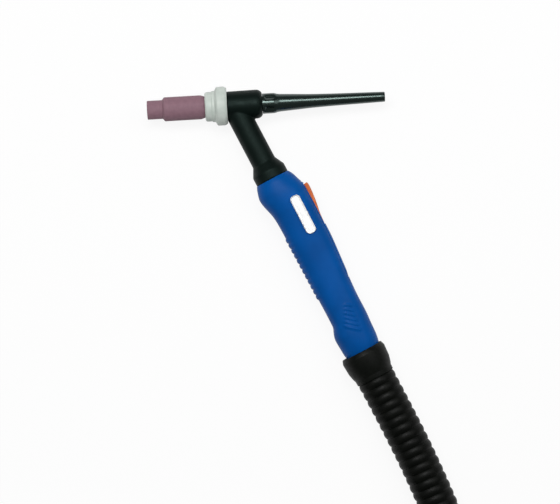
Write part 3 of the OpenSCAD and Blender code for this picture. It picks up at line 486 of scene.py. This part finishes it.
# ---- Nozzle and gasket, about the head's axis ----
# Places along it: the nozzle's mouth, the gasket's hub and flange, and the barrel's two ends
TIP, HUB, FLANGE, COVER, REAR = -59.8, -19.8, -12.2, -4.6, 19.65
NOZZLE_BORE, NOZZLE_SEAT, NOZZLE_NOSE, NOZZLE_BODY = 4.75, 6.15, 6.5, 8.3
nozzle = turned([[NOZZLE_BORE, TIP], [NOZZLE_NOSE, TIP], [NOZZLE_NOSE, TIP + 10.5], [NOZZLE_BODY, TIP + 11.9],
                 [NOZZLE_BODY, HUB - 3], [7.3, HUB], [NOZZLE_SEAT, HUB], [NOZZLE_SEAT, TIP + 13.5],
                 [NOZZLE_BORE, TIP + 11.5], [NOZZLE_BORE, TIP]])
bevelled(nozzle, 0.45, 4, 15)
placed(nozzle, "ceramic_nozzle", HEAD_FRAME, "handle", alumina, ["nozzle"])

gasket = turned([[4.75, HUB], [9.4, HUB], [10.2, HUB + 1], [10.2, FLANGE - 3], [10.7, FLANGE - 2.7],
                 [10.8, FLANGE - 0.8], [12.5, FLANGE], [13.4, FLANGE + 0.9], [13.4, COVER - 1.8],
                 [12.3, COVER], [7.05, COVER], [7.05, COVER - 3.4], [4.75, COVER - 3.4],
                 [4.75, HUB]])
bevelled(gasket, 0.45, 4, 12)
placed(gasket, "cup_gasket_ring", HEAD_FRAME, "handle", fluoropolymer, ["cup_gasket"], smooth=40)

# ---- Head: barrel and neck moulded as one, with the neck running softly into the barrel ----
barrel = turned([[9.75, COVER], [10, REAR - 3.6], [9.8, REAR - 2.6], [9.3, REAR - 1.5], [8.5, REAR - 0.6],
                 [7.7, REAR]])
NECK, COLLAR, SPIGOT = 8.45, 11.9, 9.95
CORE_BORE, SEAL_BORE = 14.1, 12.5
neck = turned([[NECK, 0], [NECK, MOUTH - 12.6], [COLLAR, MOUTH - 6], [COLLAR, MOUTH], [SPIGOT, MOUTH],
               [SPIGOT, MOUTH + 9]])
neck.data.transform(HEAD_FRAME.inverted() @ NECK_FRAME)
head = cut(barrel, neck, "UNION")
cut(head, rod(60, COVER - 30, COVER))
modified(head, "REMESH", mode="VOXEL", voxel_size=0.4, use_smooth_shade=True)
modified(head, "SMOOTH", factor=0.5, iterations=5)
cut(head, rod(CORE_BORE, COVER - 2, REAR - 1.5))
cut(head, rod(SEAL_BORE, REAR - 2.5, REAR + 2))
placed(head, "head_moulding", HEAD_FRAME, "handle", head_rubber, ["head_cover"], smooth=50)

# ---- Back cap: a fluted root, then a long taper ----
CAP_FACE, CAP_END, CAP_BORE = 19.8, 104.4, 1.7
CAP_SPIGOT, CAP_GROOVE = 5.2, 4.4
CAP_SIDES = 120
CAP_RADIUS = [(0, 6.98), (0.3, 7.05), (7.5, 7.05), (8.8, 6.85), (10.2, 6.42), (12.2, 6.12), (16.2, 5.88),
              (24.2, 5.4), (32.2, 4.9), (42.3, 4.5), (52, 4.2), (67.7, 3.85), (76, 3.65), (84, 3.45)]
# The flutes' number, their depth and the angle to each side over which one dips
FLUTES, FLUTE_DEPTH, FLUTE_REACH = 5, 1.0, 26.0


def flute(s, angle):
    """Depth of the flutes at a place and an angle: soft at their sides and at both ends."""
    off = (angle + 180 / FLUTES) % (360 / FLUTES) - 180 / FLUTES
    across = 0.5 + 0.5 * math.cos(math.pi * min(abs(off) / FLUTE_REACH, 1))
    return FLUTE_DEPTH * across * step_in(s, 0.8, 3.0) * (1 - step_in(s, 6.4, 10.4))


def cap_ring(radius, place, fluted=False):
    """A ring about the head's axis, dipped in the flutes where they run."""
    points = []
    for i in range(CAP_SIDES):
        a = math.tau * i / CAP_SIDES
        r = radius - (flute(place - CAP_FACE, math.degrees(a)) if fluted else 0)
        points.append(Vector((r * math.cos(a), r * math.sin(a), place)))
    return points


# From the bore's blind end out over the spigot and its seal groove, along the outside and over the closed end
cap_start = [(CAP_BORE, CAP_END - 5), (CAP_BORE, 12.0), (CAP_SPIGOT, 12.0), (CAP_SPIGOT, 15.3),
             (CAP_GROOVE, 15.3), (CAP_GROOVE, 17.5), (CAP_SPIGOT, 17.5), (CAP_SPIGOT, CAP_FACE)]
cap_steps = [0, 0.1, 0.2, 0.3] + [0.5 + 0.25 * k for k in range(50)] + [14 + 2 * k for k in range(36)]
cap_close = [(3.4, CAP_END - 0.35), (3.25, CAP_END - 0.1), (3.05, CAP_END), (1, CAP_END)]
cap = skin([cap_ring(radius, place) for radius, place in cap_start]
           + [cap_ring(outline(CAP_RADIUS, s), CAP_FACE + s, True) for s in cap_steps]
           + [cap_ring(radius, place) for radius, place in cap_close])
placed(cap, "long_back_cap", HEAD_FRAME, "cap", phenolic, ["back_cap"], smooth=40)

# ---- Handle: outlines against the distance from the mouth, in millimetres ----
HANDLE_LENGTH = 134.0
MOUTH_RADIUS = 12.2
FRONT_EDGE = [(0, MOUTH_RADIUS), (3, 13.4), (9, 14.9), (14, 14.4), (23, 12.1), (30, 11.4), (42, 11.2),
              (90, 10.9), (108, 10.9), (111, 11.2), (115, 12.8), (119, 13.7), (127, 13.4), (132, 13),
              (HANDLE_LENGTH, 12.4)]
BACK_EDGE = [(0, MOUTH_RADIUS), (3, 14), (8, 15.8), (12, 17.2), (16, 17.7), (43, 17.6), (54, 17.4),
             (70, 16.3), (96, 14.6), (111, 14.5), (119, 14), (127, 13.6), (132, 12.9), (HANDLE_LENGTH, 12.3)]
HALF_WIDTH = [(0, MOUTH_RADIUS), (3, 13.2), (9, 14.1), (16, 14.3), (28, 13.7), (42, 13.2), (62, 12.7),
              (82, 12.5), (106, 12.5), (115, 13), (120, 13.4), (128, 13.2), (HANDLE_LENGTH, 12.3)]
# The power of each section's superellipse: 2 is an ellipse, and more is squarer
ROUNDNESS = [(0, 2), (10, 2.25), (30, 2.4), (100, 2.4), (118, 2.15), (HANDLE_LENGTH, 2)]
TEETH_START, TEETH, TOOTH_PITCH, TOOTH_HEIGHT = 41.0, 12, 4.0, 0.8
RIDGE_START, RIDGE_PITCH, RIDGES, RIDGE_HEIGHT = 96.5, 3.84, 6, 0.95
# The ridges' slant along the grip for each millimetre of height, and the height and half length of the first
RIDGE_SLANT, RIDGE_CENTRE, RIDGE_HALF = 0.86, 5.6, 2.1
SHELL_WALL, SHELL_BREAK = 1.6, 0.22
AROUND = 96


def grip_middle(s):
    """Height of a section's middle over the neck's axis."""
    return (outline(BACK_EDGE, s) - outline(FRONT_EDGE, s)) / 2


def grip_depth(s):
    """Half the distance from the front edge to the back edge."""
    return (outline(BACK_EDGE, s) + outline(FRONT_EDGE, s)) / 2


def rounded(value, n):
    """A sine or cosine bent to a superellipse of power n."""
    return math.copysign(abs(value) ** (2 / n), value)


def back_surface(s, x):
    """Height of the back edge's surface at a place and a side offset."""
    n = outline(ROUNDNESS, s)
    return grip_middle(s) + grip_depth(s) * max(1 - abs(x / outline(HALF_WIDTH, s)) ** n, 0) ** (1 / n)


def cheek_surface(s, y):
    """Half width of the grip at a place and a height."""
    n = outline(ROUNDNESS, s)
    return outline(HALF_WIDTH, s) * max(1 - abs((y - grip_middle(s)) / grip_depth(s)) ** n, 0) ** (1 / n)


def tooth(s):
    """Height of the grip teeth: rounded crests with narrower valleys."""
    if not TEETH_START < s < TEETH_START + TEETH * TOOTH_PITCH:
        return 0
    return TOOTH_HEIGHT * abs(math.sin(math.pi * (s - TEETH_START) / TOOTH_PITCH)) ** 0.7


def cheek_ridge(s, y):
    """Height of the slanted ridges on the cheeks, fading out at their ends."""
    across = s - RIDGE_SLANT * y - RIDGE_START
    if not -0.5 * RIDGE_PITCH < across < (RIDGES - 0.5) * RIDGE_PITCH:
        return 0
    wave = 0.5 + 0.5 * math.cos(math.tau * across / RIDGE_PITCH)
    count = across / RIDGE_PITCH
    centre = RIDGE_CENTRE - count
    half = RIDGE_HALF + 0.5 * count
    return RIDGE_HEIGHT * wave * (1 - step_in(abs(y - centre), half - 1.2, half + 0.8))


def grip_ring(s):
    """One section of the grip, with its teeth and cheek ridges."""
    n, width = outline(ROUNDNESS, s), outline(HALF_WIDTH, s)
    depth, middle = grip_depth(s), grip_middle(s)
    points = []
    for i in range(AROUND):
        a = math.tau * i / AROUND
        x, y = width * rounded(math.cos(a), n), middle + depth * rounded(math.sin(a), n)
        y -= tooth(s) * max(-math.sin(a), 0) ** 6
        x += math.copysign(cheek_ridge(s, y), x) * abs(math.cos(a)) ** 0.5
        points.append(Vector((x, y, MOUTH + s)))
    return points


MODULE_START, MODULE_LENGTH, MODULE_WIDTH = 11.0, 73.0, 12.0
TRIGGER_START, TRIGGER_LENGTH, TRIGGER_WIDTH = 13.0, 31.0, 9.0
# Heights over the grip's back edge against the distance from the mouth
MODULE_RISE = [(11, 0.0), (13, 0.3), (78, 0.3), (84, -0.2)]
TRIGGER_RISE = [(13, 2.6), (17, 2.7), (28, 1.7), (36, 0.5), (44, 0.0)]
MODULE_GAP, TRIGGER_GAP = 0.12, 0.3
# The screws' places and heights
SCREWS = [(56.0, 8.3), (101.0, 7.9)]
SCREW_WELL, SCREW_SEAT = 4.9, 8.6
LABEL_PLACE, LABEL_HEIGHT = 31.5, 6.9
LABEL_LENGTH, LABEL_WIDTH, LABEL_GAP = 28.5, 6.9, 0.3
# The label lies along the chord of the cheek over these reaches to each side of its middle
LABEL_ACROSS, LABEL_ALONG = 3, 12


def cheek_fall(place_step, height_step):
    """The angle at which the cheek falls away across the label, along or across the grip."""
    before = cheek_surface(LABEL_PLACE - place_step, LABEL_HEIGHT - height_step)
    after = cheek_surface(LABEL_PLACE + place_step, LABEL_HEIGHT + height_step)
    return math.atan((before - after) / (2 * (place_step + height_step)))


LABEL_CENTRE = (-cheek_surface(LABEL_PLACE, LABEL_HEIGHT), LABEL_HEIGHT, MOUTH + LABEL_PLACE)
LABEL_FRAME = (Matrix.Translation(LABEL_CENTRE)
               @ Matrix.Rotation(-cheek_fall(0, LABEL_ACROSS), 4, "Z")
               @ Matrix.Rotation(cheek_fall(LABEL_ALONG, 0), 4, "Y"))


def plate(length, width, corner, low, high):
    """A thin plate across X with rounded corners."""
    piece = block((low, -width / 2, -length / 2), (high, width / 2, length / 2))
    only(piece)
    bpy.ops.object.mode_set(mode="EDIT")
    bpy.ops.mesh.select_all(action="DESELECT")
    bpy.ops.object.mode_set(mode="OBJECT")
    for edge in piece.data.edges:
        a, b = (piece.data.vertices[v].co for v in edge.vertices)
        edge.select = abs(a.x - b.x) > 1e-6
    bpy.ops.object.mode_set(mode="EDIT")
    bpy.ops.mesh.bevel(offset=corner, segments=12, affect="EDGES")
    bpy.ops.object.mode_set(mode="OBJECT")
    return piece


def half_shell(side):
    """One half of the grip, cut at the seam, with its wall and its module slot; its edges are broken
    afterwards.
    """
    steps = round(HANDLE_LENGTH * 2)
    shell = skin([grip_ring(HANDLE_LENGTH * k / steps) for k in range(steps + 1)], ends=False)
    only(shell)
    bpy.ops.object.mode_set(mode="EDIT")
    bpy.ops.mesh.select_all(action="SELECT")
    bpy.ops.mesh.bisect(plane_co=(0.04 * side, 0, 0), plane_no=(-side, 0, 0), clear_outer=True)
    bpy.ops.mesh.select_all(action="SELECT")
    bpy.ops.mesh.normals_make_consistent(inside=False)
    bpy.ops.object.mode_set(mode="OBJECT")
    # The open half has no inside of its own, so the walls are told which way is out
    outward = sum((f.center.x * f.normal.x + (f.center.y - 2) * f.normal.y) * f.area
                  for f in shell.data.polygons)
    if outward < 0:
        shell.data.flip_normals()
    modified(shell, "SOLIDIFY", thickness=SHELL_WALL, offset=-1, use_even_offset=True)
    slot = block((-MODULE_WIDTH / 2 - MODULE_GAP, 10.5, MOUTH + MODULE_START - MODULE_GAP),
                 (MODULE_WIDTH / 2 + MODULE_GAP, 24, MOUTH + MODULE_START + MODULE_LENGTH + MODULE_GAP))
    return cut(shell, slot)


left = half_shell(-1)
# The pocket's block runs from 3.3 mm outside the cheek to 1 mm inside it, just past the plate's back
pocket = plate(LABEL_LENGTH + LABEL_GAP, LABEL_WIDTH + LABEL_GAP, 3.0, -0.3, 4)
pocket.data.transform(LABEL_FRAME @ Matrix.Translation((-3, 0, 0)))
cut(left, pocket)
bevelled(left, SHELL_BREAK, 2, 55)
placed(left, "grip_shell_left", NECK_FRAME, "handle", handle_nylon, ["handle_shell_left"], smooth=50)
right = half_shell(1)
for place, height in SCREWS:
    well = rod(SCREW_WELL, SCREW_SEAT, 20, 40)
    well.data.transform(Matrix.Translation((0, height, MOUTH + place)) @ Matrix.Rotation(math.pi / 2, 4, "Y"))
    cut(right, well)
bevelled(right, SHELL_BREAK, 2, 55)
placed(right, "grip_shell_right", NECK_FRAME, "handle", handle_nylon, ["handle_shell_right"], smooth=50)

label = plate(LABEL_LENGTH, LABEL_WIDTH, 2.8, -0.3, 0.7)
bevelled(label, 0.18, 3, 50)
label.data.transform(LABEL_FRAME)
placed(label, "blank_label_plate", NECK_FRAME, "handle", label_vinyl, ["label_plate"])


def back_strip(start, length, width, rise, thickness, broken):
    """A crowned strip that follows the grip's back edge."""
    along_count, across_count = round(length), 12
    strip = primitive("grid", x_subdivisions=across_count, y_subdivisions=along_count, size=1)
    for k in range(along_count + 1):
        s = start + length * k / along_count
        for j in range(across_count + 1):
            x = width * (j / across_count - 0.5)
            height = back_surface(s, x) + outline(rise, s)
            strip.data.vertices[k * (across_count + 1) + j].co = (x, height, MOUTH + s)
    clean_up(strip)
    up = sum(f.normal.y * f.area for f in strip.data.polygons)
    if up < 0:
        strip.data.flip_normals()
    modified(strip, "SOLIDIFY", thickness=thickness, offset=-1)
    return bevelled(strip, broken, 4, 50)


module = back_strip(MODULE_START, MODULE_LENGTH, MODULE_WIDTH, MODULE_RISE, 2.6, 0.45)
trigger_slot_side = TRIGGER_WIDTH / 2 + TRIGGER_GAP
cut(module, block((-trigger_slot_side, 10, MOUTH + TRIGGER_START - TRIGGER_GAP),
                  (trigger_slot_side, 24, MOUTH + TRIGGER_START + TRIGGER_LENGTH + TRIGGER_GAP)))
placed(module, "switch_module_cover", NECK_FRAME, "handle", handle_nylon, ["switch_module"], smooth=50)
trigger = back_strip(TRIGGER_START, TRIGGER_LENGTH, TRIGGER_WIDTH, TRIGGER_RISE, 3.4, 0.9)
placed(trigger, "trigger_lever", NECK_FRAME, "trigger", trigger_nylon, ["trigger"], smooth=50)

# ---- Knuckle, boot and ribbed sleeve ----
BALL_RADIUS, BALL_BORE, BALL_NECK = 11, 4.0, 5.5
ball_face = [BALL_BORE, BALL - 10.25]
ball_round = [[BALL_RADIUS * math.cos(math.radians(a)), BALL + BALL_RADIUS * math.sin(math.radians(a))]
              for a in range(-68, 56, 4)]
ball_stem = [[5.9, BALL + 10.2], [BALL_NECK, BALL + 12.2], [BALL_NECK, NECK_END], [BALL_BORE, NECK_END]]
ball = turned([ball_face] + ball_round + ball_stem + [ball_face])
placed(ball, "knuckle_ball_and_neck", TAIL_FRAME, "hose_side", ball_acetal, ["knuckle_ball"], smooth=50)

boot = turned([[14.3, LIP], [14.9, LIP], [16.0, LIP + 3], [15.5, LIP + 11.2], [14.5, LIP + 15.3],
               [13.7, LIP + 17.4], [13.6, BOOT_END], [7.3, BOOT_END], [7.3, NECK_END], [5.6, NECK_END],
               [5.6, CUP_FLOOR], [13.1, CUP_FLOOR], [14.1, CUP_FLOOR - 1], [14.3, LIP]])
bevelled(boot, 0.28, 3, 12)
placed(boot, "boot_collar", TAIL_FRAME, "hose_side", boot_rubber, ["boot_cap"], smooth=50)

SLEEVE, GROOVE, SLEEVE_WALL, RIB_PITCH, RIBS = 27.0, 0.9, 1.2, 6.0, 24
STEPS_PER_RIB = 12


def walked(points, distances):
    """Points at chosen distances along a line of points."""
    out, i, gone = [], 0, 0.0
    for d in distances:
        while i < len(points) - 2 and gone + (points[i + 1] - points[i]).length < d:
            gone += (points[i + 1] - points[i]).length
            i += 1
        span = points[i + 1] - points[i]
        out.append(points[i] + span * ((d - gone) / span.length))
    return out


def rib_radius(phase):
    """The sleeve's radius over one rib: a rounded crest and a narrower groove."""
    return SLEEVE / 2 - GROOVE * (1 - abs(math.sin(math.pi * phase)) ** 0.8)


sleeve_line = smooth_route(SLEEVE_ROUTE, 2.0)
places = [RIB_PITCH * k / STEPS_PER_RIB for k in range(RIBS * STEPS_PER_RIB + 1)]
centres = [p * MM for p in walked(sleeve_line, places)]
sleeve_rings = [ring_at(centres, k, rib_radius(k / STEPS_PER_RIB) * MM, 48) for k in range(len(centres))]
sleeve = skin(sleeve_rings, ends=False)
modified(sleeve, "SOLIDIFY", thickness=SLEEVE_WALL * MM, offset=-1)
placed(sleeve, "ribbed_hose_sleeve", None, "hose_side", sleeve_rubber, ["ribbed_sleeve"], smooth=60)
CUFF_FRAME = frame_at(centres[-1], (centres[-1] - centres[-3]).normalized())
cuff = turned([[13.2, -0.6], [13.5, 0], [13.5, 5], [8.6, 12], [7.6, 12], [7.6, -0.6], [13.2, -0.6]])
bevelled(cuff, 0.8, 4, 25)
placed(cuff, "sleeve_cuff", CUFF_FRAME, "hose_side", boot_rubber, ["sleeve_end"], smooth=50)

# ---- Plug, about its own axis ----
PLUG_FRAME = frame_at(PLUG_START * MM, PLUG_HEADING)
GRIP_START, GRIP_END = 36.0, 90.0
GRIP, GRIP_GROOVES = 16.5, 10
STEM_START, SHOULDER_END, PIN_END = GRIP_START + 20, GRIP_END + 5, GRIP_END + 24
PIN, STEM, PIN_BORE, SHOULDER = 6.5, 5.5, 2, 7.8
KEY_WIDTH, KEY_TOP = 4.5, 9.9
breakout = turned([[9, 0], [10, 8], [12, 18], [14, 28], [14, GRIP_START]])
branch = turned([[4.5, 0], [4.5, 20], [3.9, 24]], 48)
branch.data.transform(Matrix.Translation((0, 0, 8)) @ Matrix.Rotation(math.radians(-50), 4, "X"))
cut(breakout, branch, "UNION")
modified(breakout, "REMESH", mode="VOXEL", voxel_size=0.5, use_smooth_shade=True)
modified(breakout, "SMOOTH", factor=0.5, iterations=8)
placed(breakout, "breakout_moulding", PLUG_FRAME, "hose_side", boot_rubber, ["breakout_boot"], smooth=50)

grip = turned([[14.5, GRIP_START], [GRIP, GRIP_START + 2], [GRIP, GRIP_END - 8], [15, GRIP_END - 6],
               [15, GRIP_END], [5.6, GRIP_END], [5.6, STEM_START], [2, GRIP_START + 19], [2, GRIP_START],
               [14.5, GRIP_START]])
for i in range(GRIP_GROOVES):
    groove = rod(4, GRIP_START + 6, GRIP_END - 12, 32)
    bevelled(groove, 1.4, 5)
    about = Matrix.Rotation(math.tau * i / GRIP_GROOVES, 4, "Z")
    groove.data.transform(about @ Matrix.Translation((GRIP + 1.2, 0, 0)))
    cut(grip, groove)
bevelled(grip, 0.5, 3, 30)
placed(grip, "plug_grip_sleeve", PLUG_FRAME, "hose_side", grip_rubber, ["plug_grip"], smooth=40)

pin = turned([[STEM, STEM_START], [STEM, GRIP_END], [SHOULDER, GRIP_END], [SHOULDER, SHOULDER_END],
              [PIN, SHOULDER_END], [PIN, PIN_END - 1], [PIN - 1, PIN_END], [PIN_BORE, PIN_END],
              [PIN_BORE, STEM_START], [STEM, STEM_START]])
key = block((-KEY_WIDTH / 2, PIN, GRIP_END), (KEY_WIDTH / 2, KEY_TOP, SHOULDER_END))
bevelled(key, 0.4, 3)
cut(pin, key, "UNION")
bevelled(pin, 0.2, 3, 40)
placed(pin, "contact_pin", PLUG_FRAME, "hose_side", contact_brass, ["plug_pin"])

# ---- Control plug ----
CONTROL_FRAME = frame_at(CONTROL_START * MM, CONTROL_HEADING)
shell = turned([[4, 0], [5, 8], [7, 13], [7, 34], [5.5, 34], [5.5, 26], [2.4, 25.9], [2.4, 1], [4, 0]])
bevelled(shell, 0.4, 3, 20)
placed(shell, "control_plug_body", CONTROL_FRAME, "hose_side", plug_nylon, ["control_plug"])
# Every third line of points on the nut's round is drawn in to a knurl's valley
NUT_SIDES, NUT_VALLEY = 108, 9.05
nut = turned([[9.1, 22], [9.5, 22.6], [9.5, 35.4], [9.1, 36], [7.05, 36], [7.05, 22], [9.1, 22]], NUT_SIDES)
for point in nut.data.vertices:
    radius = math.hypot(point.co.x, point.co.y)
    line = round(math.atan2(point.co.y, point.co.x) / math.tau * NUT_SIDES)
    if radius > 9.2 and line % 3 == 0:
        point.co.x, point.co.y = point.co.x * NUT_VALLEY / radius, point.co.y * NUT_VALLEY / radius
placed(nut, "control_plug_nut", CONTROL_FRAME, "control_nut", nickel, ["control_nut"], smooth=20)

# ---- Hidden and small pieces keep their solids: a merged copy of each takes its finish ----


def copied(node, body, finish):
    """A merged and smoothed copy of a node's mesh."""
    piece = bpy.data.objects.new(node + "_piece", frame["nodes"][node].data.copy())
    bpy.context.collection.objects.link(piece)
    only(piece)
    bpy.ops.object.mode_set(mode="EDIT")
    bpy.ops.mesh.select_all(action="SELECT")
    bpy.ops.mesh.remove_doubles(threshold=1e-6)
    bpy.ops.object.mode_set(mode="OBJECT")
    return placed(piece, node + "_piece", None, body, finish, [node])


FINISHES = {
    "collet_body": copper, "collet": copper, "electrode": tungsten, "head_core": brass, "neck_tube": copper,
    "back_cap_seal": seal_rubber, "handle_screws": zinc_steel, "trigger_pin": zinc_steel,
    "microswitch": switch_case, "switch_plunger": plunger_acetal, "switch_terminals": contact_brass,
    "switch_wires": wire_pvc, "power_fitting": brass, "cable_ferrule": tin, "inner_lead": hose_rubber,
    "control_pins": contact_brass,
}
BODY_OF = {node: body for body, nodes in frame["record"]["behaviour"]["bodies"].items() for node in nodes}
small = {node: copied(node, BODY_OF[node], finish) for node, finish in FINISHES.items()}

# ---- Floor and lights ----
floor = primitive("plane", size=6)
floor.name = "floor"
floor_finish = bpy.data.materials.new("plain_white_floor")
floor_finish.use_nodes = True
floor.data.materials.append(floor_finish)
FLOOR_GLOW = 0.9
tree = floor_finish.node_tree
paint = tree.nodes["Principled BSDF"]
paint.inputs["Base Color"].default_value = (0.96, 0.96, 0.96, 1)
paint.inputs["Roughness"].default_value = 1.0
paint.inputs["Specular IOR Level"].default_value = 0.0
# Seen straight or in a reflection it is a plain white backdrop that keeps a faint shadow; it lights nothing
ray = add(tree, "ShaderNodeLightPath")
seen = add(tree, "ShaderNodeMath", {"operation": "MAXIMUM"}, i0=ray.outputs["Is Camera Ray"],
           i1=ray.outputs["Is Glossy Ray"])
seen = add(tree, "ShaderNodeMath", {"operation": "MAXIMUM"}, i0=seen.outputs["Value"],
           i1=ray.outputs["Is Transmission Ray"])
share = add(tree, "ShaderNodeMath", {"operation": "MULTIPLY"}, i0=seen.outputs["Value"])
share.inputs[1].default_value = FLOOR_GLOW
glow = add(tree, "ShaderNodeEmission", {"Strength": 1.0})
mixed = add(tree, "ShaderNodeMixShader", i0=share.outputs["Value"], i1=paint.outputs["BSDF"],
            i2=glow.outputs["Emission"])
tree.links.new(mixed.outputs["Shader"], tree.nodes["Material Output"].inputs["Surface"])


def lamp(name, place, aim, power, width, length):
    """A soft box that faces its aim, with its length level."""
    data = bpy.data.lights.new(name, "AREA")
    data.shape = "RECTANGLE"
    data.energy, data.size, data.size_y = power, width, length
    item = bpy.data.objects.new(name, data)
    item.location = place
    item.rotation_euler = (Vector(aim) - Vector(place)).to_track_quat("-Z", "Y").to_euler()
    bpy.context.collection.objects.link(item)


# The strip over the head is the main light and draws the long streak on the cap; the others lift the shadows
lamp("strip", (-0.12, 0.44, 1.2), (0.0, 0.05, 0), 10.9, 0.8, 0.34)
lamp("key", (0.7, 0.3, 1.0), (0, -0.05, 0), 3, 0.7, 0.7)
lamp("fill", (-0.9, -0.3, 1.0), (0, 0, 0), 0.8, 0.8, 0.8)
world = bpy.data.worlds.new("studio")
bpy.context.scene.world = world
world.use_nodes = True
world.node_tree.nodes["Background"].inputs["Color"].default_value = (1, 1, 1, 1)
world.node_tree.nodes["Background"].inputs["Strength"].default_value = 0.17
